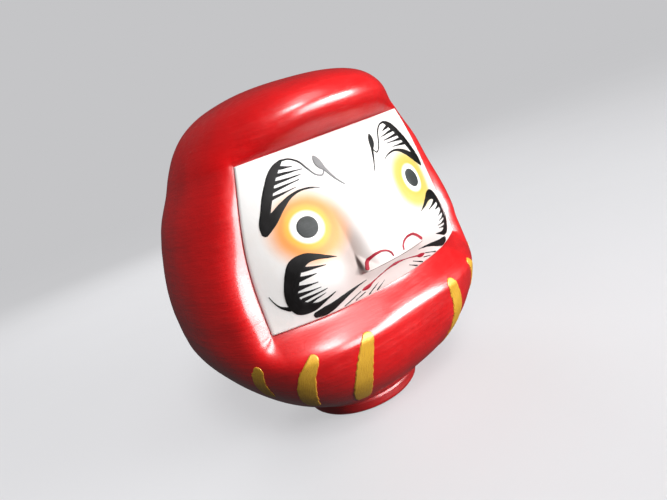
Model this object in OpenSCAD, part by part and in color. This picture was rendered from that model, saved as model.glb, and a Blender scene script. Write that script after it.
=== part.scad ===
/* [Body] */
// Height of the doll from the resting face to the crown of the hood
doll_height = 150; // [140:1:165]
// Height at which the round belly would close under the doll
belly_low = 5; // [4:0.2:6]
// Side half-width factors, evenly spaced along the meridian from foot to crown
side_form = [100, 78, 72, 71, 67, 64.5, 66.5, 82, 106]; // [60:1:125]
// Front depth factors, evenly spaced along the meridian from foot to crown
front_form = [100, 80, 74, 67, 63, 66.5, 85, 116, 119]; // [60:1:125]
// Back depth factors, evenly spaced along the meridian from foot to crown
back_form = [100, 78, 71, 68, 68, 68, 68, 67, 72]; // [60:1:125]
// Squareness of the level sections at the hood, where 2 is a plain ellipse
hood_power = 2.3; // [2:0.1:2.6]
// Squareness of the level sections at the belly
belly_power = 2.7; // [2:0.1:3]
// Wall of the pasted paper body
wall = 2.2; // [1.6:0.1:3]

/* [Face opening] */
// Height of the upper edge of the face
face_top = 122.6; // [118:0.2:126]
// Height of the lower edge of the face
face_bottom = 61.4; // [58:0.2:66]
// Half-width of the face at its upper edge
face_half_top = 39.6; // [36:0.1:41]
// Half-width of the face at its lower edge
face_half_bottom = 50.6; // [46:0.2:52]
// Outward bow of the face's side edges at mid-height
face_bow = 2.6; // [0:0.1:2.8]
// Distance from the body's axis to the foremost line of the face
face_reach = 56.9; // [54:0.1:58]
// Width of the padded roll around the face
roll_width = 13; // [9:0.5:16]
// Depth of the groove under the hood roll, as a share of the body's half-width
hood_groove = 0.03; // [0:0.005:0.05]
// Depth of the groove above the belly roll, as a share of the body's half-width
belly_groove = 0.03; // [0:0.005:0.05]

/* [Face sheet] */
// Thickness of the white face sheet
sheet_thick = 0.9; // [0.6:0.1:1.4]
// Gap between the sheet's edge and the roll
sheet_gap = 0.2; // [0.1:0.1:0.8]
// How far the nose stands out of the face
nose_height = 4.4; // [3:0.2:7]
// Half-width of the nose between the outer ends of its wings
nose_half = 15.3; // [13:0.1:17]
// Height of the rounded cheeks
cheek_height = 3; // [0:0.2:4]
// Depth of the shallow hollows under the brows
socket_depth = 1.5; // [0:0.1:1.6]

/* [Foot] */
// Radius of the foot
foot_radius = 28; // [27:0.5:31]
// Height of the foot's upper face, where the body's rim rests
foot_height = 7.2; // [6.8:0.1:8]
// Radius of the clay plug that reaches up into the body
plug_radius = 22.6; // [20:0.1:22.8]
// Height of the plug's domed top above the resting face
plug_top = 20; // [16:0.5:30]

/* [Hidden] */

// Meridian of the body: t runs from 0 at the foot pole to 1 at the crown
function pick(v, i) = v[max(0, min(len(v) - 1, i))];
function spline(v, s) =
    let (n = len(v) - 1, k = min(floor(s * n), n - 1), u = s * n - k,
         a = pick(v, k - 1), b = pick(v, k), c = pick(v, k + 1), d = pick(v, k + 2))
    (2 * b + (c - a) * u + (2 * a - 5 * b + 4 * c - d) * u * u
     + (3 * b - a - 3 * c + d) * u * u * u) / 2;
function bell(x) = exp(-x * x);
function smooth(s) = let (k = max(0, min(1, s))) k * k * (3 - 2 * k);
function mix(a, b, k) = a + (b - a) * k;
function level(t) = belly_low + (doll_height - belly_low) * (1 - cos(180 * t)) / 2;
function turn_at(z) = acos(1 - 2 * (z - belly_low) / (doll_height - belly_low)) / 180;

hood_groove_z = face_top - 3;
belly_groove_z = face_bottom + 3;
function grooved(t, hood_share, belly_share) =
    1 - hood_share * hood_groove * bell((level(t) - hood_groove_z) / 7)
      - belly_share * belly_groove * bell((level(t) - belly_groove_z) / 6);

// Rim of the hole in the underside, where the body sits on the foot
rim_t = acos(1 - 2 * (foot_height + 0.05 - belly_low) / (doll_height - belly_low)) / 180;
rim_radius = 25.4;
rim_form = rim_radius / sin(180 * rim_t);
function rim_blend(t) = smooth((t - rim_t) / 0.07);
function half(form, t, inset) = (mix(rim_form, spline(form, t), rim_blend(t)) - inset) * sin(180 * t);
function side_half(t, inset) = half(side_form, t, inset) * grooved(t, 0.5, 0.1);
function front_half(t, inset) = half(front_form, t, inset) * grooved(t, 1, 1);
function back_half(t, inset) = half(back_form, t, inset);
function power(t) =
    mix(2, mix(belly_power, hood_power, smooth((t - 0.3) / 0.3)), rim_blend(t));

// Front surface of the face sheet, without the nose and the cheeks: a bowed sheet
// with a shallow hollow under each brow
bend_across = 158;
bend_above = 328;
bend_below = 210;
foremost_z = face_bottom + 11;
curl_x = 46;
socket_x = 19;
socket_z = face_bottom + 45;
function face_share(z) = max(0, min(1, (z - face_bottom) / (face_top - face_bottom)));
function face_y(x, z) =
    let (up = z - foremost_z)
    -face_reach + x * x / bend_across + up * up / (up > 0 ? bend_above : bend_below)
    + face_bow * sin(180 * face_share(z)) * pow(x / curl_x, 4)
    + socket_depth * bell(norm([(abs(x) - socket_x) / 14, (z - socket_z) / 13]));
function face_edge(z) =
    mix(face_half_bottom, face_half_top, face_share(z)) + face_bow * sin(180 * face_share(z));
floor_depth = sheet_thick + 0.05;

// Distance outside the face opening, seen from the front, grown by grow
function outside(x, z, grow) =
    let (dx = abs(x) - face_edge(z) - grow,
         dz = max(z - face_top, face_bottom - z) - grow)
    (dx < 0 || dz < 0) ? max(dx, dz) : norm([dx, dz]);

// How far the roll has risen to the full body, k from 0 at the face to 1 at the roll's outer
// edge: a gentle swell beside and below the face, a rounder one in the hood above it
function roll_rise(k, z) =
    mix(1.1 * k + 0.8 * k * k - 0.9 * k * k * k, 1 - pow(1 - k, 2.2),
        smooth((z - face_top + 6) / 8));

// A point of the body: t along the meridian, a the azimuth from the front
function body_point(t, a, inset) =
    let (e = 2 / power(t),
         c = cos(a), s = sin(a),
         depth = c > 0 ? front_half(t, inset) : back_half(t, inset),
         x = sign(s) * pow(abs(s), e) * side_half(t, inset),
         y = -sign(c) * pow(abs(c), e) * depth,
         z = level(t) + inset * cos(180 * t),
         k = max(0, min(1, outside(x, z, inset) / roll_width)),
         rise = roll_rise(k, z),
         floor_y = face_y(x, z) + floor_depth + inset)
    [x, (c > 0 && k < 1) ? mix(floor_y, y, rise) : y, z];

// Columns follow the side edges of the face, and rows its upper and lower edges
face_columns = 9;
side_columns = 18;
function edge_angle(t) =
    let (ratio = min(0.8, face_edge(level(t)) / side_half(t, 0)))
    asin(pow(ratio, power(t) / 2));
function column_angle(t, i) =
    let (ratio = min(0.8, face_edge(level(t)) / side_half(t, 0)),
         k = (i - face_columns) / side_columns)
    i <= face_columns
        ? asin(pow(ratio * i / face_columns, power(t) / 2))
        : edge_angle(t) + (180 - edge_angle(t)) * pow(k, 1.35);
function row_span(a, b, n, bend) =
    [for (i = [1:n]) mix(a, b, bend > 0 ? pow(i / n, bend) : 1 - pow(1 - i / n, -bend))];
top_t = turn_at(face_top);
bottom_t = turn_at(face_bottom);
rows = concat([rim_t], row_span(rim_t, bottom_t, 12, -1.5), row_span(bottom_t, top_t, 12, 1),
              row_span(top_t, 0.985, 13, 1.5));
columns = face_columns + side_columns;
ring_count = 2 * columns;

// A closed shell between the outer and the inner skin, open at the rim below
module skin_pair(thickness) {
    n = ring_count;
    m = len(rows);
    angle = function (t, j) j <= columns ? column_angle(t, j) : -column_angle(t, 2 * columns - j);
    outer = [for (t = rows, j = [0:n - 1]) body_point(t, angle(t, j), 0)];
    inner = [for (t = rows, j = [0:n - 1]) body_point(t, angle(t, j), thickness)];
    caps = [body_point(1, 0, 0), body_point(1, 0, thickness)];
    shift = len(outer);
    cap = 2 * shift;
    quads = function (first, flip) [
        for (i = [0:m - 2], j = [0:n - 1])
            let (a = first + i * n + j, b = first + i * n + (j + 1) % n, c = b + n, d = a + n)
            each flip ? [[a, c, b], [a, d, c]] : [[a, b, c], [a, c, d]]
    ];
    faces = concat(
        quads(0, true),
        quads(shift, false),
        [for (j = [0:n - 1]) [(m - 1) * n + j, cap, (m - 1) * n + (j + 1) % n]],
        [for (j = [0:n - 1]) [shift + (m - 1) * n + (j + 1) % n, cap + 1, shift + (m - 1) * n + j]],
        [for (j = [0:n - 1]) let (k = (j + 1) % n)
            each [[j, k, shift + k], [j, shift + k, shift + j]]]
    );
    polyhedron(concat(outer, inner, caps), faces, convexity = 6);
}

module paper_shell() {
    color("red") skin_pair(wall);
}

// Nose and cheeks, as a height above the plain face sheet
nose_foot = face_bottom + 10;
nose_root = face_bottom + 46;
wing_top = nose_foot + 9;
flank_reach = 2.7;
flank_width = 10;
function nose_rise(x, z) =
    let (s = (z - nose_foot) / (nose_root - nose_foot),
         flank = smooth((nose_half + flank_reach - abs(x)) / flank_width),
         wing = smooth(nose_half + 0.6 - abs(x)) * max(0, min(1, (wing_top - z) / (wing_top - nose_foot))),
         crown = 1 - 0.1 * pow(x / nose_half, 2))
    (s < -0.03 || s > 1) ? 0
        : nose_height * max(flank, wing) * crown * smooth((s + 0.03) / 0.03)
            * pow(1 - max(0, s), 1.15);
cheek_x = 32;
cheek_z = face_bottom + 15;
function cheek_rise(x, z) = cheek_height * bell(norm([(abs(x) - cheek_x) / 12, (z - cheek_z) / 12]));
function face_point(x, z) = [x, face_y(x, z) - max(nose_rise(x, z), cheek_rise(x, z)), z];

// A closed sheet from two point grids of rows x columns: front skin, back skin and rim
module sheet(front, back) {
    nz = len(front) - 1;
    nx = len(front[0]) - 1;
    w = nx + 1;
    points = concat([for (row = front) each row], [for (row = back) each row]);
    shift = (nz + 1) * w;
    rim = concat([for (j = [0:nx - 1]) j], [for (i = [0:nz - 1]) i * w + nx],
                 [for (j = [nx:-1:1]) nz * w + j], [for (i = [nz:-1:1]) i * w]);
    faces = concat(
        [for (i = [0:nz - 1], j = [0:nx - 1]) let (a = i * w + j)
            each [[a, a + w, a + w + 1], [a, a + w + 1, a + 1]]],
        [for (i = [0:nz - 1], j = [0:nx - 1]) let (a = shift + i * w + j)
            each [[a, a + w + 1, a + w], [a, a + 1, a + w + 1]]],
        [for (k = [0:len(rim) - 1]) let (a = rim[k], b = rim[(k + 1) % len(rim)])
            each [[a, b, shift + b], [a, shift + b, shift + a]]]
    );
    polyhedron(points, faces, convexity = 4);
}

module face_panel() {
    nx = 34;
    nz = 30;
    heights = [for (i = [0:nz]) mix(face_bottom + sheet_gap, face_top - sheet_gap, i / nz)];
    across = function (z, j) (face_edge(z) - sheet_gap) * (2 * j / nx - 1);
    front = [for (z = heights) [for (j = [0:nx]) face_point(across(z, j), z)]];
    back = [for (z = heights) [for (j = [0:nx]) let (x = across(z, j)) [x, face_y(x, z) + sheet_thick, z]]];
    color("white") sheet(front, back);
}

// Paper strip pasted over the slit down the back of the shell
module back_seam_strip() {
    steps = 22;
    low_t = turn_at(22);
    high_t = turn_at(132);
    half_angle = 5.5;
    skin = function (inset) [
        for (i = [0:steps]) [
            for (j = [0:3]) body_point(mix(low_t, high_t, i / steps),
                                       180 - half_angle + 2 * half_angle * j / 3, inset)]
    ];
    color("red") sheet(skin(-0.35), skin(-0.05));
}

// Dried-clay weight: the visible foot and the plug inside the body
paper_disc = 0.6;
module base_weight() {
    edge = 2;
    dome = 6;
    color("firebrick") rotate_extrude($fn = 120) polygon(concat(
        [[0, paper_disc], [foot_radius - edge, paper_disc]],
        [for (a = [-60:30:0]) [foot_radius - edge + edge * cos(a), paper_disc + edge + edge * sin(a)]],
        [for (a = [0:30:90]) [foot_radius - edge + edge * cos(a), foot_height - edge + edge * sin(a)]],
        [[plug_radius, foot_height]],
        [for (a = [0:15:90]) [plug_radius - dome + dome * cos(a), plug_top - dome - 2 + dome * sin(a)]],
        [[0, plug_top]]
    ));
}

// Bead of glue between the plug and the rim of the body
module glue_ring() {
    color("tan") rotate_extrude($fn = 120) polygon([
        [plug_radius + 0.05, foot_height + 0.05], [rim_radius - 0.6, foot_height + 0.05],
        [rim_radius - 0.9, foot_height + 2], [plug_radius + 0.05, foot_height + 2.8]
    ]);
}

// Paper disc pasted under the foot, which is the resting face
module base_paper() {
    color("beige") cylinder(r = foot_radius - 3, h = paper_disc - 0.02, $fn = 120);
}

// Paint layers: thin raised strokes that follow the surface.
// A stroke is a list of [place, height, half-width] and joins round dots one by one.
film = 0.25;
film_gap = 0.08;
function face_frame(x, z) =
    let (p = face_point(x, z),
         u = face_point(x + 0.2, z) - p,
         v = face_point(x, z + 0.2) - p,
         n = cross(u, v))
    [p, n / norm(n)];
function belly_frame(azimuth, z) =
    let (t = turn_at(z),
         angle = sign(azimuth) * atan(pow(tan(abs(azimuth)) * front_half(t, 0) / side_half(t, 0),
                                          power(t) / 2)),
         p = body_point(t, angle, 0),
         u = body_point(t, angle + 0.2, 0) - p,
         v = body_point(t + 0.002, angle, 0) - p,
         n = cross(u, v))
    [p, n / norm(n)];
module dot(spot, r) {
    n = spot[1];
    translate(spot[0] + n * film_gap)
        rotate([0, acos(n.z), atan2(n.y, n.x)])
            cylinder(r = r, h = film, $fn = 10);
}
module stroke(points, on_belly = false) {
    spots = [for (p = points) on_belly ? belly_frame(p[0], p[1]) : face_frame(p[0], p[1])];
    for (i = [0:len(points) - 2])
        hull() {
            dot(spots[i], points[i][2]);
            dot(spots[i + 1], points[i + 1][2]);
        }
}
module strokes(list, side, on_belly = false, turn = 0) {
    for (points = list)
        stroke([for (p = points) [side * (p[0] + turn), p[1], p[2]]], on_belly);
}

// Eyes
pupil_x = 26.8;
pupil_z = face_bottom + 32.9;
pupil_radius = 3.95;
module pupil(side) {
    spot = face_frame(side * pupil_x, pupil_z);
    n = spot[1];
    color("dimgray") translate(spot[0] + n * film_gap)
        rotate([0, acos(n.z), atan2(n.y, n.x)])
            cylinder(r = pupil_radius, h = film, $fn = 48);
}

// Brow: outer crescent, lower branch over the eye, five hairs, upper line and forehead leaf
brow = [
    [[25.4, 118.8, 0.6], [28, 117.2, 1.4], [30.6, 114.6, 1.7], [33, 111.2, 1.8], [35.3, 107.4, 1.9],
     [37.4, 103.4, 1.9], [39.2, 99.9, 1.8], [40.2, 97.4, 1]],
    [[16.4, 105.5, 0.2], [20, 106.7, 0.35], [24, 107, 0.45], [27.5, 106.2, 0.7], [31, 104.4, 1.2],
     [34.2, 102.2, 1.7], [37.2, 100, 2.1], [39.8, 97.2, 1.2]],
    [[26.5, 116.8, 0.7], [22.4, 115.8, 0.15]],
    [[29.5, 114.8, 0.75], [19.4, 113.8, 0.15]],
    [[31.2, 112.5, 0.8], [20.7, 112.2, 0.15]],
    [[32.8, 110.1, 0.8], [22, 110.7, 0.15]],
    [[34.3, 107.8, 0.75], [24, 108.6, 0.15]],
    [[25.4, 119, 0.45], [22.4, 118.6, 0.35], [19.6, 116.6, 0.35], [17.6, 113.2, 0.35],
     [15.8, 110.4, 0.3], [13.6, 109.2, 0.3], [12.4, 110.4, 0.3]],
    [[13.8, 116.6, 0.3], [13.5, 115, 1.2], [12.9, 113, 1.35], [11.8, 110.9, 0.7], [9.8, 106.7, 0.4],
     [7.5, 103.3, 0.2]]
];
// Cheek mark: outer half-moon, six hairs and an outer flick
cheek_mark = [
    [[22.2, 80.9, 0.15], [25.5, 82.3, 0.6], [29, 83.8, 1.1], [32.5, 84.5, 1.9], [36.2, 83.2, 2.8],
     [38.5, 80, 2.8], [40, 76.5, 2.7], [41, 73.4, 2.4], [40.7, 70.7, 2.7], [39.4, 68.2, 2.8],
     [35.8, 67, 1.7], [32.5, 67.4, 0.8], [27.2, 69.2, 0.15]],
    [[35, 81.3, 1], [27.2, 79.9, 0.15]],
    [[37, 78.5, 1], [31.4, 78.4, 0.15]],
    [[38.5, 75.5, 1], [32, 75.3, 0.15]],
    [[39, 73, 0.8], [31.6, 73.2, 0.15]],
    [[38, 70.8, 0.75], [29.7, 71.8, 0.15]],
    [[36.8, 68.8, 0.7], [30.6, 70.4, 0.15]],
    [[46.8, 75.5, 0.15], [46.1, 73, 0.25], [44.9, 70.8, 0.4], [42.6, 69, 0.9]]
];
// Moustache wing with four short chin hairs below it
moustache = [
    [[14.2, 67.8, 0.15], [19, 67.1, 0.45], [24, 65.9, 0.95], [28.5, 64.5, 1.45], [32, 63.7, 1.75],
     [35.2, 63.5, 1.2]],
    [[25, 62.2, 0.25], [17.7, 64.7, 0.2]],
    [[20.3, 62.4, 0.25], [16, 63.6, 0.2]],
    [[14.6, 62.2, 0.3], [9.2, 64.9, 0.15]],
    [[10.9, 62.2, 0.3], [6.7, 64.4, 0.15]]
];
nostril = [
    [[14.2, 72.7, 0.85], [12.9, 74.6, 0.75], [10.4, 75.9, 0.55], [7.4, 76.3, 0.48],
     [4.8, 75.6, 0.45], [3.2, 74.2, 0.42], [2.8, 72.8, 0.36]]
];
lip = [
    [[0, 68, 0.55], [2.4, 67.9, 0.4], [5, 67.5, 0.25], [8.5, 66.8, 0.25], [11.8, 65.9, 0.35],
     [13.8, 65.2, 0.75], [15.6, 64.9, 0.7], [17, 64.9, 0.2]]
];
// Gold strokes on the belly, as [azimuth, height, half-width]; the hand-painted right-hand
// ones lie a little nearer the middle
gold_turn_right = -3.4;
gold = [
    [[22.3, 50, 2.4], [24.2, 45, 3.2], [26, 40, 3.5], [27.6, 34.5, 3.8], [29, 29, 4],
     [30.2, 24, 3.9], [31, 19.5, 3.2]],
    [[40, 50.5, 2], [43.3, 46, 2.9], [45.7, 41, 3.5], [48, 36, 3.8], [49.8, 31, 3.6], [51, 26.5, 2.8]],
    [[58.6, 51, 2.2], [61, 46.5, 2.8], [62.8, 41.5, 3], [64, 36.5, 2.6]]
];
module brow_film(side) { color("black") strokes(brow, side); }
module cheek_film(side) { color("black") strokes(cheek_mark, side); }
module moustache_film(side) { color("black") strokes(moustache, side); }
module nostril_film(side) { color("crimson") strokes(nostril, side); }
module gold_film(side) { color("goldenrod") strokes(gold, side, true, side > 0 ? gold_turn_right : 0); }
module lip_line() {
    color("crimson") union() {
        strokes(lip, -1);
        strokes(lip, 1);
    }
}

paper_shell();
back_seam_strip();
face_panel();
base_weight();
glue_ring();
base_paper();
pupil(-1);  // pupil_left
pupil(1);  // pupil_right
brow_film(-1);  // brow_left
brow_film(1);  // brow_right
cheek_film(-1);  // cheek_mark_left
cheek_film(1);  // cheek_mark_right
moustache_film(-1);  // moustache_left
moustache_film(1);  // moustache_right
nostril_film(-1);  // nostril_left
nostril_film(1);  // nostril_right
lip_line();
gold_film(-1);  // gold_stripes_left
gold_film(1);  // gold_stripes_right
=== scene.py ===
"""Looks for the papier-mache daruma doll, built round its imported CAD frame.

Metres, +Z up, the doll faces -Y. Shape functions work in millimetres and numpy arrays;
a mesh turns them into metres when it is made.
"""

import math

import bpy
import numpy as np
from mathutils import Matrix, Vector


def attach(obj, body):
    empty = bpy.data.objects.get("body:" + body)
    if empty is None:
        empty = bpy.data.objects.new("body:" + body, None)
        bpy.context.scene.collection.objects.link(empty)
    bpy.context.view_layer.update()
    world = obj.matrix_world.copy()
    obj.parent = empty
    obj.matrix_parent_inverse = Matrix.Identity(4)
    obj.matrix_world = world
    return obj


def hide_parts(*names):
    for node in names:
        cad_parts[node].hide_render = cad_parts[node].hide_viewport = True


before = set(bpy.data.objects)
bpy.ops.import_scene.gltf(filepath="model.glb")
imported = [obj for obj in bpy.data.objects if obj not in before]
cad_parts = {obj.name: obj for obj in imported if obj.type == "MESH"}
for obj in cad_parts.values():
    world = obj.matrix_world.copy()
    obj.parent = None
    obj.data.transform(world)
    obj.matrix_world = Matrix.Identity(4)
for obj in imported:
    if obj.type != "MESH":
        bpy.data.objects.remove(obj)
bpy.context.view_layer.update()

MM = 0.001
SEED = 20


# ---------------------------------------------------------------- camera
# The doll is seen from the -X side of its front, a little from above, and leans to the left.
CAMERA_PLACE = (-0.11185, -0.20371, 0.12322)  # m
CAMERA_RIGHT = Vector((0.766833, -0.548445, -0.333429))
CAMERA_UP = Vector((0.400958, 0.003679, 0.916089))
SENSOR = 36.0  # mm
FOCAL_SHARE = 500 / 667  # focal length over image width


def make_camera():
    data = bpy.data.cameras.new("camera")
    data.sensor_width = SENSOR
    data.lens = SENSOR * FOCAL_SHARE
    data.clip_start = 0.01
    camera = bpy.data.objects.new("camera", data)
    bpy.context.scene.collection.objects.link(camera)
    back = CAMERA_RIGHT.cross(CAMERA_UP).normalized()
    up = back.cross(CAMERA_RIGHT).normalized()
    turn = Matrix((CAMERA_RIGHT.normalized(), up, back)).transposed().to_4x4()
    camera.matrix_world = Matrix.Translation(CAMERA_PLACE) @ turn
    bpy.context.scene.camera = camera


make_camera()


# ---------------------------------------------------------------- measures of the doll, mm
DOLL_HEIGHT = 150.0
BELLY_LOW = 5.0
SIDE_FORM = [100, 78, 72, 71, 67, 64.5, 66.5, 82, 106]
FRONT_FORM = [100, 80, 74, 67, 63, 66.5, 85, 116, 119]
BACK_FORM = [100, 78, 71, 68, 68, 68, 68, 67, 72]
HOOD_POWER = 2.3
BELLY_POWER = 2.7
WALL = 2.2
FACE_TOP = 122.6
FACE_BOTTOM = 61.4
FACE_HALF_TOP = 39.6
FACE_HALF_BOTTOM = 50.6
FACE_BOW = 2.6
FACE_REACH = 56.9
ROLL_WIDTH = 13.0
HOOD_GROOVE = 0.03
BELLY_GROOVE = 0.03
SHEET_THICK = 0.9
SHEET_GAP = 0.2
NOSE_HEIGHT = 4.4
NOSE_HALF = 15.3
CHEEK_HEIGHT = 3.0
SOCKET_DEPTH = 1.5
FOOT_HEIGHT = 7.2
RIM_RADIUS = 25.4
PUPIL = (26.8, FACE_BOTTOM + 32.9, 3.95)  # place across, height, radius
FOREMOST_Z = FACE_BOTTOM + 11  # height at which the face sheet reaches furthest forward
BEND_ACROSS, BEND_ABOVE, BEND_BELOW = 158, 328, 210
CURL_X = 46
SOCKET = (19, FACE_BOTTOM + 45, 14, 13)  # place across, height, reach across, reach up
CHEEK = (32, FACE_BOTTOM + 15, 12)
NOSE_FOOT = FACE_BOTTOM + 10
NOSE_ROOT = FACE_BOTTOM + 46


# ---------------------------------------------------------------- shape functions
def mix(a, b, k):
    return a + (b - a) * k


def bell(x):
    return np.exp(-x * x)


def smooth(s):
    k = np.clip(s, 0, 1)
    return k * k * (3 - 2 * k)


def spline(values, s):
    """Catmull-Rom through evenly spaced values, s from 0 to 1."""
    v = np.asarray(values, float)
    n = len(v) - 1
    s = np.asarray(s, float)
    k = np.clip(np.floor(s * n).astype(int), 0, n - 1)
    u = s * n - k
    a, b, c, d = (v[np.clip(k + i, 0, n)] for i in (-1, 0, 1, 2))
    return (2 * b + (c - a) * u + (2 * a - 5 * b + 4 * c - d) * u**2
            + (3 * b - a - 3 * c + d) * u**3) / 2


def level(t):
    return BELLY_LOW + (DOLL_HEIGHT - BELLY_LOW) * (1 - np.cos(np.pi * t)) / 2


def turn_at(z):
    return np.arccos(1 - 2 * (np.asarray(z, float) - BELLY_LOW) / (DOLL_HEIGHT - BELLY_LOW)) / np.pi


RIM_T = float(turn_at(FOOT_HEIGHT + 0.05))
RIM_FORM = RIM_RADIUS / math.sin(math.pi * RIM_T)


def rim_blend(t):
    return smooth((t - RIM_T) / 0.07)


def grooved(t, hood_share, belly_share):
    z = level(t)
    return (1 - hood_share * HOOD_GROOVE * bell((z - FACE_TOP + 3) / 7)
            - belly_share * BELLY_GROOVE * bell((z - FACE_BOTTOM - 3) / 6))


def half(form, t, inset):
    return (mix(RIM_FORM, spline(form, t), rim_blend(t)) - inset) * np.sin(np.pi * t)


def side_half(t, inset=0.0):
    return half(SIDE_FORM, t, inset) * grooved(t, 0.5, 0.1)


def front_half(t, inset=0.0):
    return half(FRONT_FORM, t, inset) * grooved(t, 1, 1)


def power(t):
    return mix(2, mix(BELLY_POWER, HOOD_POWER, smooth((t - 0.3) / 0.3)), rim_blend(t))


def face_share(z):
    return np.clip((z - FACE_BOTTOM) / (FACE_TOP - FACE_BOTTOM), 0, 1)


def face_edge(z):
    return (mix(FACE_HALF_BOTTOM, FACE_HALF_TOP, face_share(z))
            + FACE_BOW * np.sin(np.pi * face_share(z)))


def face_y(x, z):
    """Front of the face sheet, without nose and cheeks: bowed, hollow under each brow."""
    up = z - FOREMOST_Z
    cx, cz, reach_x, reach_z = SOCKET
    return (-FACE_REACH + x * x / BEND_ACROSS + up * up / np.where(up > 0, BEND_ABOVE, BEND_BELOW)
            + FACE_BOW * np.sin(np.pi * face_share(z)) * (x / CURL_X) ** 4
            + SOCKET_DEPTH * bell(np.hypot((np.abs(x) - cx) / reach_x, (z - cz) / reach_z)))


def outside(x, z, grow=0.0):
    """Distance outside the face opening, seen from the front."""
    dx = np.abs(x) - face_edge(z) - grow
    dz = np.maximum(z - FACE_TOP, FACE_BOTTOM - z) - grow
    return np.where((dx < 0) | (dz < 0), np.maximum(dx, dz), np.hypot(dx, dz))


def body_point(t, a, inset=0.0):
    """Point of the paper body: t along the meridian, a the turn from the front in radians."""
    e = 2 / power(t)
    c, s = np.cos(a), np.sin(a)
    depth = np.where(c > 0, front_half(t, inset), half(BACK_FORM, t, inset))
    x = np.sign(s) * np.abs(s) ** e * side_half(t, inset)
    y = -np.sign(c) * np.abs(c) ** e * depth
    z = level(t) + inset * np.cos(np.pi * t)
    k = np.clip(outside(x, z, inset) / ROLL_WIDTH, 0, 1)
    rise = mix(1.1 * k + 0.8 * k**2 - 0.9 * k**3, 1 - (1 - k) ** 2.2,
               smooth((z - FACE_TOP + 6) / 8))
    floor_y = face_y(x, z) + SHEET_THICK + 0.05 + inset
    y = np.where((c > 0) & (k < 1), mix(floor_y, y, rise), y)
    return np.stack(np.broadcast_arrays(x, y, z), -1)


def nose_rise(x, z):
    """Height of the nose: a broad soft wedge with sharp-sided wings near its foot."""
    s = (z - NOSE_FOOT) / (NOSE_ROOT - NOSE_FOOT)
    up = np.clip(s, 0, 1)
    flank = smooth((NOSE_HALF + 2.7 - np.abs(x)) / 10)
    wing = smooth((NOSE_HALF + 0.35 - np.abs(x)) / 0.7) * np.clip((NOSE_FOOT + 9 - z) / 9, 0, 1)
    crown = 1 - 0.1 * (x / NOSE_HALF) ** 2
    rise = (NOSE_HEIGHT * np.maximum(flank, wing) * crown * smooth((s + 0.02) / 0.02)
            * (1 - up) ** 1.15)
    return np.where((s < -0.03) | (s > 1), 0, rise)


def cheek_rise(x, z):
    cx, cz, reach = CHEEK
    return CHEEK_HEIGHT * bell(np.hypot((np.abs(x) - cx) / reach, (z - cz) / reach))


def face_point(x, z):
    y = face_y(x, z) - np.maximum(nose_rise(x, z), cheek_rise(x, z))
    return np.stack(np.broadcast_arrays(x, y, z), -1)


def unit(v):
    return v / np.maximum(np.linalg.norm(v, axis=-1, keepdims=True), 1e-12)


def face_skin(x, z):
    """Point and outward normal of the face sheet."""
    d = 0.1
    u = face_point(x + d, z) - face_point(x - d, z)
    v = face_point(x, z + d) - face_point(x, z - d)
    return face_point(x, z), unit(np.cross(u, v))


# ---------------------------------------------------------------- seeded smooth noise
LATTICE = np.random.RandomState(SEED).uniform(-1, 1, (32, 32, 32))


def noise(p, size, shift=0.0):
    """Smooth value noise of points p in mm; size is the cell in mm, one number or three."""
    q = p / np.asarray(size, float) + shift
    base = np.floor(q).astype(int)
    f = q - base
    f = f * f * (3 - 2 * f)
    total = 0.0
    for corner in range(8):
        step = np.array([(corner >> i) & 1 for i in range(3)])
        weight = np.prod(np.where(step == 1, f, 1 - f), -1)
        i = (base + step) % len(LATTICE)
        total = total + weight * LATTICE[i[..., 0], i[..., 1], i[..., 2]]
    return total


def unevenness(p):
    """How far the hand-pasted paper stands proud or shy of the true shape, mm."""
    z = p[..., 2]
    away = smooth((z - 9) / 8) * np.where(p[..., 1] > 0, 1, smooth(outside(p[..., 0], z) / 5))
    crest = bell((z - FACE_BOTTOM + 6) / 9)
    soft = mix(0.28, 0.16, smooth((z - FACE_TOP) / 8)) * noise(p, 24) + 0.10 * noise(p, 11, 3.3)
    streak = mix(0.07, 0.26, crest) * noise(p, (24, 24, 4.5), 7.1)
    return away * (soft + streak)


def body_skin(t, a):
    """Point and outward normal of the lacquered body, with its unevenness."""
    d = 0.0015
    p = body_point(t, a)
    u = body_point(t, a + d) - body_point(t, a - d)
    v = body_point(t + d, a) - body_point(t - d, a)
    n = unit(np.cross(u, v))
    return p + n * unevenness(p)[..., None], n


# ---------------------------------------------------------------- mesh helpers
def new_piece(name, points, faces, node, material, attributes=None):
    """A mesh piece, given in mm, that rides on the doll and stands for one CAD node."""
    mesh = bpy.data.meshes.new(name)
    mesh.from_pydata((np.asarray(points) * MM).tolist(), [], faces)
    for key, values in (attributes or {}).items():
        layer = mesh.attributes.new(key, "FLOAT", "POINT")
        layer.data.foreach_set("value", np.asarray(values, np.float32))
    mesh.validate()
    mesh.polygons.foreach_set("use_smooth", [True] * len(mesh.polygons))
    mesh.materials.append(material)
    piece = bpy.data.objects.new(name, mesh)
    bpy.context.scene.collection.objects.link(piece)
    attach(piece, "root")
    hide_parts(node)


def grid_quads(rows, cols, first=0, closed=False, flip=False):
    """Quads of a rows x cols grid of points, wrapping round the columns when closed."""
    quads = []
    span = cols if closed else cols - 1
    for i in range(rows - 1):
        for j in range(span):
            a = first + i * cols + j
            b = first + i * cols + (j + 1) % cols
            quad = (a, b, b + cols, a + cols)
            quads.append(quad[::-1] if flip else quad)
    return quads


def row_span(a, b, n, bend):
    """n values up to b, crowded towards a when bend is above 1 and towards b below -1."""
    i = np.arange(1, n + 1) / n
    return mix(a, b, i**bend if bend > 0 else 1 - (1 - i) ** -bend)


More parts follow.
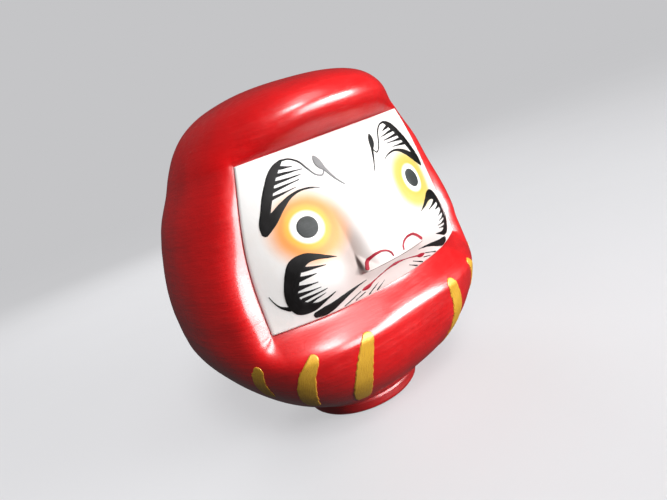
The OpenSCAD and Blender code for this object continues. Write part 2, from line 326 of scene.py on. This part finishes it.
# ---------------------------------------------------------------- node helpers
def srgb(r, g, b):
    """Display colour, 0 to 255, as the linear colour that shaders take."""
    def linear(v):
        v = v / 255
        return v / 12.92 if v <= 0.04045 else ((v + 0.055) / 1.055) ** 2.4
    return (linear(r), linear(g), linear(b), 1.0)


class Nodes:
    """Short calls for a material's node tree."""

    def __init__(self, name):
        self.material = bpy.data.materials.new(name)
        self.material.use_nodes = True
        self.tree = self.material.node_tree
        self.shader = self.tree.nodes["Principled BSDF"]
        self.place = self.add("ShaderNodeTexCoord").outputs["Object"]

    def add(self, kind, **settings):
        made = self.tree.nodes.new(kind)
        for key, value in settings.items():
            setattr(made, key, value)
        return made

    def put(self, socket, value):
        if isinstance(value, bpy.types.NodeSocket):
            self.tree.links.new(value, socket)
        else:
            socket.default_value = value

    def math(self, operation, a, b=0.0, c=0.0, clamp=False):
        made = self.add("ShaderNodeMath", operation=operation, use_clamp=clamp)
        for socket, value in zip(made.inputs, (a, b, c)):
            self.put(socket, value)
        return made.outputs[0]

    def stretch(self, scale):
        """The object's coordinates, scaled along each axis."""
        made = self.add("ShaderNodeVectorMath", operation="MULTIPLY")
        self.put(made.inputs[0], self.place)
        made.inputs[1].default_value = scale
        return made.outputs[0]

    def noise(self, scale, detail=3.0, rough=0.55, vector=None, distortion=0.0):
        made = self.add("ShaderNodeTexNoise")
        self.put(made.inputs["Vector"], vector if vector else self.place)
        made.inputs["Scale"].default_value = scale
        made.inputs["Detail"].default_value = detail
        made.inputs["Roughness"].default_value = rough
        made.inputs["Distortion"].default_value = distortion
        return made.outputs["Fac"]

    def spread(self, value, low, high, to_low=0.0, to_high=1.0):
        """Maps low..high to to_low..to_high, smoothly and without going past the ends."""
        made = self.add("ShaderNodeMapRange", interpolation_type="SMOOTHSTEP")
        self.put(made.inputs["Value"], value)
        for key, number in (("From Min", low), ("From Max", high),
                            ("To Min", to_low), ("To Max", to_high)):
            self.put(made.inputs[key], number)
        return made.outputs["Result"]

    def blend(self, share, a, b):
        made = self.add("ShaderNodeMix", data_type="RGBA")
        self.put(made.inputs[0], share)
        self.put(made.inputs[6], a)
        self.put(made.inputs[7], b)
        return made.outputs[2]

    def attribute(self, name):
        return self.add("ShaderNodeAttribute", attribute_name=name).outputs["Fac"]

    def lane(self, across, along):
        """Coordinates that run with a brush stroke, scaled across and along it."""
        made = self.add("ShaderNodeCombineXYZ")
        self.put(made.inputs[0], self.math("MULTIPLY", self.attribute("across"), across))
        self.put(made.inputs[1], self.math("MULTIPLY", self.attribute("along"), along))
        return made.outputs[0]

    def xyz(self):
        made = self.add("ShaderNodeSeparateXYZ")
        self.put(made.inputs[0], self.place)
        return made.outputs[0], made.outputs[1], made.outputs[2]

    def bump(self, height, distance, strength=1.0, below=None):
        made = self.add("ShaderNodeBump")
        made.inputs["Distance"].default_value = distance
        made.inputs["Strength"].default_value = strength
        self.put(made.inputs["Height"], height)
        if below:
            self.put(made.inputs["Normal"], below)
        return made.outputs["Normal"]

    def surface(self, colour, roughness, normal=None, **fixed):
        self.put(self.shader.inputs["Base Color"], colour)
        self.put(self.shader.inputs["Roughness"], roughness)
        if normal:
            self.put(self.shader.inputs["Normal"], normal)
        for key, value in fixed.items():
            self.shader.inputs[key.replace("_", " ")].default_value = value
        return self.material


# ---------------------------------------------------------------- materials
def lacquer(name, base=(232, 16, 20), deep=(176, 8, 12), worn=(240, 46, 40), coat=0.9):
    """Red lacquer over pasted paper: cloudy colour, brushed coats, fine orange peel, and painted shade
    darkening it in the crease round the face opening.
    """
    m = Nodes(name)
    cloud = m.noise(38, 4, 0.6)
    brushed = m.noise(60, 5, 0.65, m.stretch((1, 1, 9)))
    peel = m.noise(900, 2)
    grain = m.noise(260, 4, 0.6)
    colour = m.blend(m.spread(cloud, 0.35, 0.8, 0, 0.55), srgb(*base), srgb(*deep))
    colour = m.blend(m.spread(brushed, 0.5, 0.78, 0, 0.22), colour, srgb(*worn))
    # Painted shade: the red turns dark in the narrow crease next to the face sheet.
    colour = m.blend(m.math("MULTIPLY", m.attribute("crease_shade"), 0.5), colour, srgb(90, 4, 10))
    rough = m.spread(m.math("ADD", grain, m.math("MULTIPLY", brushed, 0.6)), 0.55, 1.1, 0.32, 0.48)
    normal = m.bump(brushed, 0.0009, 0.35)
    normal = m.bump(grain, 0.00035, 0.3, normal)
    normal = m.bump(peel, 0.00010, 0.25, normal)
    dull = m.math("MULTIPLY", m.attribute("tuck"), 0.9)
    m.put(m.shader.inputs["Coat Weight"], m.math("MULTIPLY", m.math("SUBTRACT", 1.0, dull), coat))
    m.put(m.shader.inputs["Specular IOR Level"], m.math("SUBTRACT", 0.4, m.math("MULTIPLY", dull, 0.3)))
    return m.surface(colour, rough, normal, Coat_Roughness=0.24, Coat_IOR=1.7)


def face_white():
    """White ground of the face with the airbrushed halo round each eye, a faint pink tint round the
    mouth that is partly painted shade below the nose, painted shade on the -X nose flank and a painted
    shadow under the nose.
    """
    m = Nodes("face_white")
    x, _, z = m.xyz()
    reach = m.math("ABSOLUTE", x)

    def ring(cx, cz, sx=1.0, sz=1.0):
        dx = m.math("DIVIDE", m.math("SUBTRACT", reach, cx * MM), sx * MM)
        dz = m.math("DIVIDE", m.math("SUBTRACT", z, cz * MM), sz * MM)
        return m.math("SQRT", m.math("ADD", m.math("MULTIPLY", dx, dx), m.math("MULTIPLY", dz, dz)))

    fibre = m.noise(420, 5, 0.65)
    cloud = m.noise(55, 4, 0.6)
    wander = m.math("MULTIPLY", m.math("SUBTRACT", cloud, 0.5), 2.4)
    eye = m.math("ADD", ring(PUPIL[0], PUPIL[1]), wander)
    wide = m.math("ADD", ring(PUPIL[0] - 0.2, PUPIL[1] - 0.6), wander)
    left = m.spread(x, -0.002, 0.002, 1, 0)
    ground = m.blend(m.spread(cloud, 0.4, 0.75, 0, 0.5), srgb(240, 237, 235), srgb(238, 228, 221))
    # Pink tint round the mouth, partly painted shade below the nose.
    blush_and_shade = m.spread(ring(8, 67, 28, 11), 0.3, 1.15, 0.8, 0)
    ground = m.blend(blush_and_shade, ground, srgb(206, 184, 180))
    # Painted shade on the -X flank of the nose, the side turned away from the key light.
    flank = m.spread(ring(17, 83, 8.5, 17), 0.15, 1.2, 0.9, 0)
    ground = m.blend(m.math("MULTIPLY", flank, left), ground, srgb(164, 142, 134))
    orange = m.blend(left, srgb(216, 188, 98), srgb(236, 154, 82))
    rim = m.spread(left, 0, 1, 14.5, 16.5)
    glow = m.spread(wide, 9.0, rim, 1, 0)
    colour = m.blend(glow, ground, orange)
    yellow = m.blend(left, srgb(218, 184, 78), srgb(238, 194, 72))
    colour = m.blend(m.spread(eye, 6.4, 9.0, 0.7, 0), colour, yellow)
    colour = m.blend(m.spread(ring(PUPIL[0], PUPIL[1]), 5.0, 6.5, 1, 0), colour, srgb(254, 253, 248))
    # Painted shadow: a dark line just under the nose foot; painted shade: a narrow dark wedge beside
    # the -X nose wing.
    foot = NOSE_FOOT * MM
    line = m.math("MULTIPLY", m.spread(z, foot - 0.0014, foot - 0.0005, 0, 0.95),
                  m.spread(reach, 0.0136, 0.0146, 1, 0))
    line = m.math("MULTIPLY", line, m.spread(z, foot, foot + 0.0003, 1, 0))
    wedge = m.spread(ring(15.3, 75, 0.6, 4.6), 0.3, 1.1, m.math("MULTIPLY", left, 0.9), 0)
    colour = m.blend(m.math("MAXIMUM", line, wedge), colour, srgb(74, 56, 54))
    rough = m.spread(fibre, 0.35, 0.7, 0.42, 0.56)
    normal = m.bump(fibre, 0.0002, 0.25)
    normal = m.bump(m.noise(120, 3), 0.0005, 0.2, normal)
    return m.surface(colour, rough, normal, Coat_Weight=0.06, Coat_Roughness=0.3,
                     Specular_IOR_Level=0.22)


def ink(name, dark, pale, rough=(0.4, 0.6), coat=0.03, glare_grey=0.0):
    """Brushed ink or paint: denser and paler bands along the stroke.

    The last argument sets how far a painted highlight turns the ink pale grey on the -X side between
    the brows.
    """
    m = Nodes(name)
    x, _, z = m.xyz()
    bristle = m.noise(5, 4, 0.7, m.lane(1.7, 0.05))
    wash = m.noise(150, 4, 0.6)
    share = m.math("ADD", m.spread(bristle, 0.45, 0.75, 0, 0.35), m.spread(wash, 0.45, 0.8, 0, 0.45))
    colour = m.blend(share, srgb(*dark), srgb(*pale))
    # Painted highlight: pale grey over the ink on the -X side, high between the brows.
    dry = m.math("MULTIPLY", m.spread(x, -0.021, -0.014, 0, glare_grey),
                 m.spread(x, 0.0, 0.002, 1, 0))
    dry = m.math("MULTIPLY", dry, m.spread(z, 0.09, 0.1))
    colour = m.blend(dry, colour, srgb(146, 145, 146))
    roughness = m.spread(wash, 0.3, 0.75, *rough)
    normal = m.bump(bristle, 0.00012, 0.5)
    return m.surface(colour, roughness, normal, Coat_Weight=coat, Coat_Roughness=0.3,
                     Specular_IOR_Level=0.14)


def gold_paint():
    """Ochre-gold paint with bristle lanes and a faint glitter; red shows at the dry ends."""
    m = Nodes("gold_paint")
    bristle = m.noise(6, 5, 0.7, m.lane(1.6, 0.045))
    glitter = m.noise(2600, 2, 0.6)
    wash = m.noise(120, 3)
    colour = m.blend(m.spread(bristle, 0.4, 0.75), srgb(240, 186, 58), srgb(216, 152, 40))
    colour = m.blend(m.spread(glitter, 0.6, 0.75, 0, 0.5), colour, srgb(246, 206, 96))
    end = m.math("MULTIPLY", m.spread(m.attribute("rim"), 0.0, 0.5, 1, 0),
                 m.spread(bristle, 0.45, 0.62))
    colour = m.blend(m.math("MULTIPLY", end, 0.8), colour, srgb(190, 60, 24))
    roughness = m.spread(wash, 0.3, 0.75, 0.34, 0.5)
    normal = m.bump(bristle, 0.00022, 0.6)
    normal = m.bump(glitter, 0.00004, 0.4, normal)
    return m.surface(colour, roughness, normal, Metallic=0.12, Coat_Weight=0.3,
                     Coat_Roughness=0.25)


def paper(name, base, stain):
    """Bare matt paper with fibres and faint blots."""
    m = Nodes(name)
    fibre = m.noise(380, 6, 0.7, m.stretch((1, 1.6, 1)))
    blot = m.noise(70, 4, 0.6)
    colour = m.blend(m.spread(blot, 0.4, 0.75, 0, 0.7), srgb(*base), srgb(*stain))
    colour = m.blend(m.spread(fibre, 0.62, 0.75, 0, 0.4), colour, srgb(*stain))
    normal = m.bump(fibre, 0.0003, 0.5)
    return m.surface(colour, m.spread(fibre, 0.3, 0.7, 0.7, 0.95), normal)


def glue():
    """Dull amber glue that has run a little."""
    m = Nodes("hide_glue")
    drip = m.noise(240, 4, 0.6)
    colour = m.blend(m.spread(drip, 0.35, 0.7), srgb(176, 120, 52), srgb(120, 70, 26))
    return m.surface(colour, m.spread(drip, 0.3, 0.7, 0.12, 0.35), m.bump(drip, 0.0005, 0.5),
                     Coat_Weight=0.4, Coat_Roughness=0.1)


RED = lacquer("red_lacquer")
RED_STRIP = lacquer("red_lacquer_strip", (214, 22, 26), (150, 8, 14))
RED_CLAY = lacquer("red_clay", (196, 22, 26), (120, 10, 14), (206, 84, 60), 0.55)
WHITE = face_white()
BLACK = ink("black_ink", (14, 12, 12), (38, 36, 38), glare_grey=0.85)
GREY = ink("grey_ink", (60, 62, 62), (84, 86, 86), (0.3, 0.45))
CRIMSON = ink("crimson_ink", (150, 10, 36), (190, 36, 66), (0.3, 0.5))
GOLD = gold_paint()


# ---------------------------------------------------------------- lacquered body
FACE_COLUMNS = 40
SIDE_COLUMNS = 84


def body_columns(t):
    """Turn angles round the body at each height; columns follow the face's side edges."""
    ratio = np.minimum(0.8, face_edge(level(t)) / side_half(t))
    e = power(t) / 2
    edge = np.arcsin(ratio**e)
    inner = [np.arcsin((ratio * i / FACE_COLUMNS) ** e) for i in range(FACE_COLUMNS + 1)]
    outer = [edge + (np.pi - edge) * (k / SIDE_COLUMNS) ** 1.35 for k in range(1, SIDE_COLUMNS + 1)]
    right = inner + outer
    return right + [-a for a in right[-2:0:-1]]


def make_body():
    """The lacquered paper body: outer and inner skin, joined round the rim below."""
    low, high = float(turn_at(FACE_BOTTOM)), float(turn_at(FACE_TOP))
    rows = np.concatenate([[RIM_T], row_span(RIM_T, low, 46, -1.5), row_span(low, high, 44, 1),
                           row_span(high, 0.992, 56, 1.5)])
    angles = np.stack(body_columns(rows), 1)
    t = np.repeat(rows[:, None], angles.shape[1], 1)
    outer = body_skin(t, angles)[0]
    inner = body_point(t, angles, WALL)
    n_rows, n_cols = t.shape
    count = n_rows * n_cols
    crown = (np.array([1.0]), np.array([0.0]))
    top = body_point(*crown)
    pole = top + np.array([0, 0, 1]) * unevenness(top)[:, None]
    points = np.concatenate([outer.reshape(-1, 3), inner.reshape(-1, 3), pole,
                             body_point(*crown, WALL)])
    faces = grid_quads(n_rows, n_cols, 0, True)
    faces += grid_quads(n_rows, n_cols, count, True, flip=True)
    last = (n_rows - 1) * n_cols
    for j in range(n_cols):
        k = (j + 1) % n_cols
        faces.append((last + j, last + k, 2 * count))
        faces.append((count + last + k, count + last + j, 2 * count + 1))
        faces.append((k, j, count + j, count + k))
    x, y, z = outer[..., 0], outer[..., 1], outer[..., 2]
    near = np.where(y < 0, np.clip(outside(x, z), 0, 60), 60)
    hidden = np.zeros(count + 2)
    # Painted shade mask: strongest at the edge of the face opening and gone within a few mm.
    crease_shade = np.concatenate([np.exp(-near / 1.3).reshape(-1), hidden])
    tuck = np.concatenate([(bell(near / 7) * smooth((z - FACE_TOP + 1) / 3)).reshape(-1), hidden])
    new_piece("lacquered_body", points, faces, "paper_shell", RED,
              {"crease_shade": crease_shade, "tuck": tuck})


# ---------------------------------------------------------------- face sheet
FACE_ROWS, FACE_POINTS = 150, 200


def make_face():
    """The face sheet as a closed sheet with a softened front edge."""
    nz, nx = FACE_ROWS, FACE_POINTS
    heights = np.linspace(FACE_BOTTOM + SHEET_GAP, FACE_TOP - SHEET_GAP, nz)
    z = np.repeat(heights[:, None], nx, 1)
    x = (face_edge(z) - SHEET_GAP) * np.linspace(-1, 1, nx)[None, :]
    front = face_point(x, z)
    back = np.stack([x, face_y(x, z) + SHEET_THICK, z], -1)
    edge = np.minimum(face_edge(z) - SHEET_GAP - np.abs(x),
                      np.minimum(z - heights[0], heights[-1] - z))
    front[..., 1] += 0.25 * (1 - np.clip(edge / 0.5, 0, 1)) ** 2
    count = nz * nx
    points = np.concatenate([front.reshape(-1, 3), back.reshape(-1, 3)])
    faces = grid_quads(nz, nx) + grid_quads(nz, nx, count, flip=True)
    ring = (list(range(nx - 1)) + [i * nx + nx - 1 for i in range(nz - 1)]
            + [(nz - 1) * nx + j for j in range(nx - 1, 0, -1)]
            + [i * nx for i in range(nz - 1, 0, -1)])
    for a, b in zip(ring, ring[1:] + ring[:1]):
        faces.append((b, a, a + count, b + count))
    new_piece("face_sheet", points, faces, "face_panel", WHITE)


# ---------------------------------------------------------------- paint films
def thicken(points, step):
    """A stroke's [u, v, half-width] points, splined to one every step mm."""
    p = np.asarray(points, float)
    gaps = np.hypot(*np.diff(p[:, :2], axis=0).T)
    s = np.linspace(0, 1, max(4, int(gaps.sum() / step)))
    if len(p) == 2:
        return mix(p[0], p[1], s[:, None])
    where = np.concatenate([[0], np.cumsum(gaps)]) / gaps.sum()
    even = np.interp(s, where, np.linspace(0, 1, len(p)))
    out = np.stack([spline(p[:, i], even) for i in range(3)], 1)
    out[:, 2] = np.maximum(out[:, 2], 0.12)
    return out


def film_field(place, strokes, samples):
    """How far each grid node lies outside the painted shape, and its place in the stroke."""
    field = np.full(place.shape[:2], 9.0)
    along = np.zeros_like(field)
    across = np.zeros_like(field)
    for number, (points, radii) in enumerate(zip(strokes, samples)):
        run = np.concatenate([[0], np.cumsum(np.linalg.norm(np.diff(points, axis=0), axis=1))])
        tangent = unit(np.gradient(points, axis=0))
        for p, r, s, d in zip(points, radii, run, tangent):
            offset = place - p
            near = np.nonzero(np.abs(offset).max(-1) < r + 1.2)
            o = offset[near]
            value = np.linalg.norm(o, axis=-1) - r
            better = value < field[near]
            spot = (near[0][better], near[1][better])
            field[spot] = value[better]
            along[spot] = s + 37.0 * number
            turn = np.cross(o[better], d)
            across[spot] = np.linalg.norm(turn, axis=-1) / r * np.sign(turn[..., 1] + 1e-9)
    return field, along, across


def march(field):
    """Cells of the painted shape: the grid nodes used, the rim crossings and the polygons."""
    inside = field < 0
    index = {}
    nodes, crossings, polygons = [], [], []

    def corner(i, j):
        key = (i, j)
        if key not in index:
            index[key] = len(index)
            nodes.append((index[key], i, j))
        return index[key]

    def crossing(a, b):
        key = (min(a, b), max(a, b))
        if key not in index:
            index[key] = len(index)
            fa, fb = field[key[0]], field[key[1]]
            share = min(0.97, max(0.03, fa / (fa - fb)))
            crossings.append((index[key], key[0], key[1], share))
        return index[key]

    count = (inside[:-1, :-1].astype(int) + inside[1:, :-1] + inside[1:, 1:] + inside[:-1, 1:])
    for i, j in zip(*np.nonzero(count)):
        ring = [(i, j), (i, j + 1), (i + 1, j + 1), (i + 1, j)]
        if count[i, j] == 4:
            polygons.append([corner(*c) for c in ring])
            continue
        polygon = []
        for a, b in zip(ring, ring[1:] + ring[:1]):
            if inside[a]:
                polygon.append(corner(*a))
            if inside[a] != inside[b]:
                polygon.append(crossing(a, b))
        if count[i, j] == 2 and inside[ring[0]] == inside[ring[2]]:
            if inside[ring[0]]:
                polygons.append(polygon[0:2] + polygon[5:6])
                polygons.append(polygon[2:5])
            else:
                polygons.append(polygon[0:3])
                polygons.append(polygon[3:6])
            continue
        polygons.append(polygon)
    return nodes, crossings, polygons


FILM_HEIGHT, FILM_EDGE, FILM_ROOT = 0.25, 0.4, 0.12  # rise, rounded rim, depth below the skin


def make_film(name, node, material, skin, grid, strokes, wobble=0.06):
    """A closed film of paint on the surface skin(u, v), with rounded edges."""
    u, v = np.meshgrid(grid[0], grid[1], indexing="xy")
    place, normal = skin(u, v)
    samples = [thicken(s, 0.3) for s in strokes]
    centres = [skin(s[:, 0], s[:, 1])[0] for s in samples]
    field, along, across = film_field(place, centres, [s[:, 2] for s in samples])
    field = field + wobble * noise(place, 1.6) * (field > -1)
    nodes, crossings, polygons = march(field)
    total = len(nodes) + len(crossings)
    top = np.zeros((total, 3))
    low = np.zeros((total, 3))
    facts = np.zeros((total, 3))
    k, i, j = np.array(nodes).T
    depth = np.clip(-field[i, j] / FILM_EDGE, 0, 1)
    rise = FILM_HEIGHT * np.sqrt(1 - (1 - depth) ** 2)
    top[k] = place[i, j] + normal[i, j] * rise[:, None]
    low[k] = place[i, j] - normal[i, j] * FILM_ROOT
    facts[k] = np.stack([along[i, j], across[i, j], -field[i, j]], 1)
    for q, a, b, share in crossings:
        top[q] = mix(place[a], place[b], share)
        facts[q] = (along[a], across[a], 0) if field[a] < 0 else (along[b], across[b], 0)
    rim = np.array([q for q, *_ in crossings])
    under = np.full(total, -1)
    under[rim] = rim
    under[k] = total + np.arange(len(k))
    points = np.concatenate([top, low[k]])
    faces = [tuple(p) for p in polygons]
    faces += [tuple(int(under[q]) for q in p[::-1]) for p in polygons]
    facts = np.concatenate([facts, facts[k]])
    new_piece(name, points, faces, node, material,
              {"along": facts[:, 0], "across": facts[:, 1], "rim": facts[:, 2]})


# Strokes of the right-hand side, as [place across, height, half-width] in mm; the gold ones
# give the azimuth in degrees in the first place
BROW = [
    [[25.4, 118.8, 0.6], [28, 117.2, 1.4], [30.6, 114.6, 1.7], [33, 111.2, 1.8], [35.3, 107.4, 1.9],
     [37.4, 103.4, 1.9], [39.2, 99.9, 1.8], [40.2, 97.4, 1]],
    [[16.4, 105.5, 0.2], [20, 106.7, 0.35], [24, 107, 0.45], [27.5, 106.2, 0.7], [31, 104.4, 1.2],
     [34.2, 102.2, 1.7], [37.2, 100, 2.1], [39.8, 97.2, 1.2]],
    [[26.5, 116.8, 0.7], [22.4, 115.8, 0.15]],
    [[29.5, 114.8, 0.75], [24.5, 114.3, 0.4], [19.4, 113.8, 0.15]],
    [[31.2, 112.5, 0.8], [26, 112.3, 0.42], [20.7, 112.2, 0.15]],
    [[32.8, 110.1, 0.8], [27.5, 110.4, 0.42], [22, 110.7, 0.15]],
    [[34.3, 107.8, 0.75], [29, 108.2, 0.4], [24, 108.6, 0.15]],
    [[25.4, 119, 0.45], [22.4, 118.6, 0.35], [19.6, 116.6, 0.35], [17.6, 113.2, 0.35],
     [15.8, 110.4, 0.3], [13.6, 109.2, 0.3], [12.4, 110.4, 0.3]],
    [[13.8, 116.6, 0.3], [13.5, 115, 1.2], [12.9, 113, 1.35], [11.8, 110.9, 0.7], [9.8, 106.7, 0.4],
     [7.5, 103.3, 0.2]],
]
CHEEK_MARK = [
    [[22.2, 80.9, 0.15], [25.5, 82.3, 0.6], [29, 83.8, 1.1], [32.5, 84.5, 1.9], [36.2, 83.2, 2.8],
     [38.5, 80, 2.8], [40, 76.5, 2.7], [41, 73.4, 2.4], [40.7, 70.7, 2.7], [39.4, 68.2, 2.8],
     [35.8, 67, 1.7], [32.5, 67.4, 0.8], [27.2, 69.2, 0.15]],
    [[35, 81.3, 1], [31, 80.6, 0.5], [27.2, 79.9, 0.15]],
    [[37, 78.5, 1], [34.5, 78.4, 0.55], [31.4, 78.4, 0.15]],
    [[38.5, 75.5, 1], [35.5, 75.4, 0.5], [32, 75.3, 0.15]],
    [[39, 73, 0.8], [35.5, 73.1, 0.45], [31.6, 73.2, 0.15]],
    [[38, 70.8, 0.75], [34, 71.3, 0.42], [29.7, 71.8, 0.15]],
    [[36.8, 68.8, 0.7], [34, 69.6, 0.4], [30.6, 70.4, 0.15]],
    [[46.8, 75.5, 0.15], [46.1, 73, 0.25], [44.9, 70.8, 0.4], [42.6, 69, 0.9]],
]
MOUSTACHE = [
    [[14.2, 67.8, 0.15], [19, 67.1, 0.45], [24, 65.9, 0.95], [28.5, 64.5, 1.45], [32, 63.7, 1.75],
     [35.2, 63.5, 1.2]],
    [[25, 62.2, 0.25], [17.7, 64.7, 0.2]],
    [[20.3, 62.4, 0.25], [16, 63.6, 0.2]],
    [[14.6, 62.2, 0.3], [9.2, 64.9, 0.15]],
    [[10.9, 62.2, 0.3], [6.7, 64.4, 0.15]],
]
NOSTRIL = [
    [[14.2, 72.7, 0.85], [12.9, 74.6, 0.75], [10.4, 75.9, 0.55], [7.4, 76.3, 0.48], [4.8, 75.6, 0.45],
     [3.2, 74.2, 0.42], [2.8, 72.8, 0.36]],
]
LIP = [
    [[0, 68, 0.55], [2.4, 67.9, 0.4], [5, 67.5, 0.25], [8.5, 66.8, 0.25], [11.8, 65.9, 0.35],
     [13.8, 65.2, 0.75], [15.6, 64.9, 0.7], [17, 64.9, 0.2]],
]
GOLD_STRIPES = [
    [[22.3, 50, 2.4], [24.2, 45, 3.2], [26, 40, 3.5], [27.6, 34.5, 3.8], [29, 29, 4],
     [30.2, 24, 3.9], [31, 19.5, 3.2]],
    [[40, 50.5, 2], [43.3, 46, 2.9], [45.7, 41, 3.5], [48, 36, 3.8], [49.8, 31, 3.6], [51, 26.5, 2.8]],
    [[58.6, 51, 2.2], [61, 46.5, 2.8], [62.8, 41.5, 3], [64, 36.5, 2.6]],
]


def mirrored(strokes, side, turn=0.0):
    return [[[side * (p[0] + turn), p[1], p[2]] for p in stroke] for stroke in strokes]


def grid_round(strokes, step_u, step_v, margin):
    """Grid lines that cover a list of strokes."""
    flat = np.array([p for stroke in strokes for p in stroke])
    spare = flat[:, 2].max() * margin
    low, high = flat[:, :2].min(0) - spare, flat[:, :2].max(0) + spare
    return np.arange(low[0], high[0], step_u), np.arange(low[1], high[1], step_v)


def belly_skin(azimuth, z):
    """Point and normal of the belly at an azimuth in degrees and a height in mm."""
    t = turn_at(z)
    ratio = np.tan(np.radians(np.abs(azimuth))) * front_half(t) / side_half(t)
    a = np.sign(azimuth) * np.arctan(ratio ** (power(t) / 2))
    return body_skin(t, a)


FACE_STEP = 0.17
GOLD_STEP = (0.28, 0.24)  # degrees across, mm up
SIDES = {"left": -1, "right": 1}
GOLD_TURN = {"left": 0.0, "right": -3.4}


PUPIL_DOT = [[[PUPIL[0] + shift, PUPIL[1], PUPIL[2]] for shift in (-0.05, 0.05)]]
FACE_MARKS = (
    ("brow", BROW, "black_ink", BLACK),
    ("cheek_mark", CHEEK_MARK, "black_ink", BLACK),
    ("moustache", MOUSTACHE, "black_ink", BLACK),
    ("nostril", NOSTRIL, "crimson_ink", CRIMSON),
    ("pupil", PUPIL_DOT, "grey_ink", GREY),
)


def make_paint():
    for word, side in SIDES.items():
        for label, marks, slot, material in FACE_MARKS:
            strokes = mirrored(marks, side)
            make_film(f"{label}_paint_{word}", f"{label}_{word}", material, face_skin,
                      grid_round(strokes, FACE_STEP, FACE_STEP, 1.3), strokes)
        stripes = mirrored(GOLD_STRIPES, side, GOLD_TURN[word])
        make_film(f"gold_paint_{word}", f"gold_stripes_{word}", GOLD, belly_skin,
                  grid_round(stripes, *GOLD_STEP, 1.6), stripes, wobble=0.25)
    lips = mirrored(LIP, -1) + mirrored(LIP, 1)
    make_film("lip_paint", "lip_line", CRIMSON, face_skin,
              grid_round(lips, FACE_STEP, FACE_STEP, 2), lips)


# ---------------------------------------------------------------- carried CAD nodes
def dress(node, material):
    """Gives a carried CAD node its looks; its mesh and place stay as they are."""
    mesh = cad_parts[node].data
    mesh.materials.clear()
    mesh.materials.append(material)


make_body()
make_face()
make_paint()
dress("back_seam_strip", RED_STRIP)
dress("base_weight", RED_CLAY)
dress("glue_ring", glue())
dress("base_paper", paper("bare_paper", (214, 196, 158), (176, 150, 108)))


# ---------------------------------------------------------------- stage
LIGHT_AIM = Vector((0, 0, 0.08))
FLOOR_HALF = 4.0


def area_light(name, azimuth, elevation, distance, size, energy):
    """A soft panel aimed at the doll; azimuth 0 is in front of the face, 90 on the +X side."""
    data = bpy.data.lights.new(name, "AREA")
    data.shape = "RECTANGLE"
    data.size, data.size_y = size
    data.energy = energy
    lamp = bpy.data.objects.new(name, data)
    bpy.context.scene.collection.objects.link(lamp)
    a, e = math.radians(azimuth), math.radians(elevation)
    away = Vector((math.sin(a) * math.cos(e), -math.cos(a) * math.cos(e), math.sin(e)))
    lamp.location = LIGHT_AIM + away * distance
    lamp.rotation_euler = away.to_track_quat("Z", "Y").to_euler()
    lamp.visible_camera = False
    return lamp


def make_floor():
    m = Nodes("studio_floor")
    tone = m.noise(6, 3)
    colour = m.blend(m.spread(tone, 0.3, 0.7), srgb(150, 150, 152), srgb(148, 148, 150))
    material = m.surface(colour, 0.8, Specular_IOR_Level=0.2, Emission_Strength=0.72,
                         Emission_Color=srgb(214, 214, 216))
    mesh = bpy.data.meshes.new("floor")
    corners = ((-1, -1), (1, -1), (1, 1), (-1, 1))
    mesh.from_pydata([(x * FLOOR_HALF, y * FLOOR_HALF, 0) for x, y in corners], [], [(0, 1, 2, 3)])
    mesh.materials.append(material)
    floor = bpy.data.objects.new("floor", mesh)
    bpy.context.scene.collection.objects.link(floor)
    floor.visible_glossy = False
    floor.visible_diffuse = False


def make_world():
    """A pale backdrop for the camera and a faint even glow for everything else."""
    world = bpy.data.worlds.new("studio")
    world.use_nodes = True
    tree = world.node_tree
    seen = tree.nodes["Background"]
    seen.inputs["Color"].default_value = srgb(197, 197, 199)
    seen.inputs["Strength"].default_value = 1.0
    glow = tree.nodes.new("ShaderNodeBackground")
    glow.inputs["Color"].default_value = srgb(222, 223, 226)
    glow.inputs["Strength"].default_value = 0.07
    path = tree.nodes.new("ShaderNodeLightPath")
    joined = tree.nodes.new("ShaderNodeMixShader")
    tree.links.new(path.outputs["Is Camera Ray"], joined.inputs[0])
    tree.links.new(glow.outputs[0], joined.inputs[1])
    tree.links.new(seen.outputs[0], joined.inputs[2])
    tree.links.new(joined.outputs[0], tree.nodes["World Output"].inputs["Surface"])
    bpy.context.scene.world = world


make_floor()
make_world()
# Panels as azimuth and elevation in degrees, distance and size in m, power in W. The key and
# the front light shape the body, the gloss panel draws the streak on the belly, and the rear one
# lifts the back.
area_light("key", 30, 5, 0.8, (0.3, 0.3), 6.6)
gloss = area_light("gloss", 14, 2, 0.36, (0.36, 0.22), 3.2)
gloss.visible_diffuse = False
area_light("front", -18, 42, 0.9, (0.3, 0.3), 5.0)
rear = area_light("rear", 170, 34, 0.9, (0.5, 0.3), 3.2)
rear.visible_glossy = False
sun = bpy.data.lights.new("overhead", "SUN")
sun.energy = 0.7
sun.angle = math.radians(35)
overhead = bpy.data.objects.new("overhead", sun)
bpy.context.scene.collection.objects.link(overhead)
overhead.rotation_euler = (math.radians(32), 0, math.radians(16))
bpy.context.scene.view_settings.view_transform = "Standard"
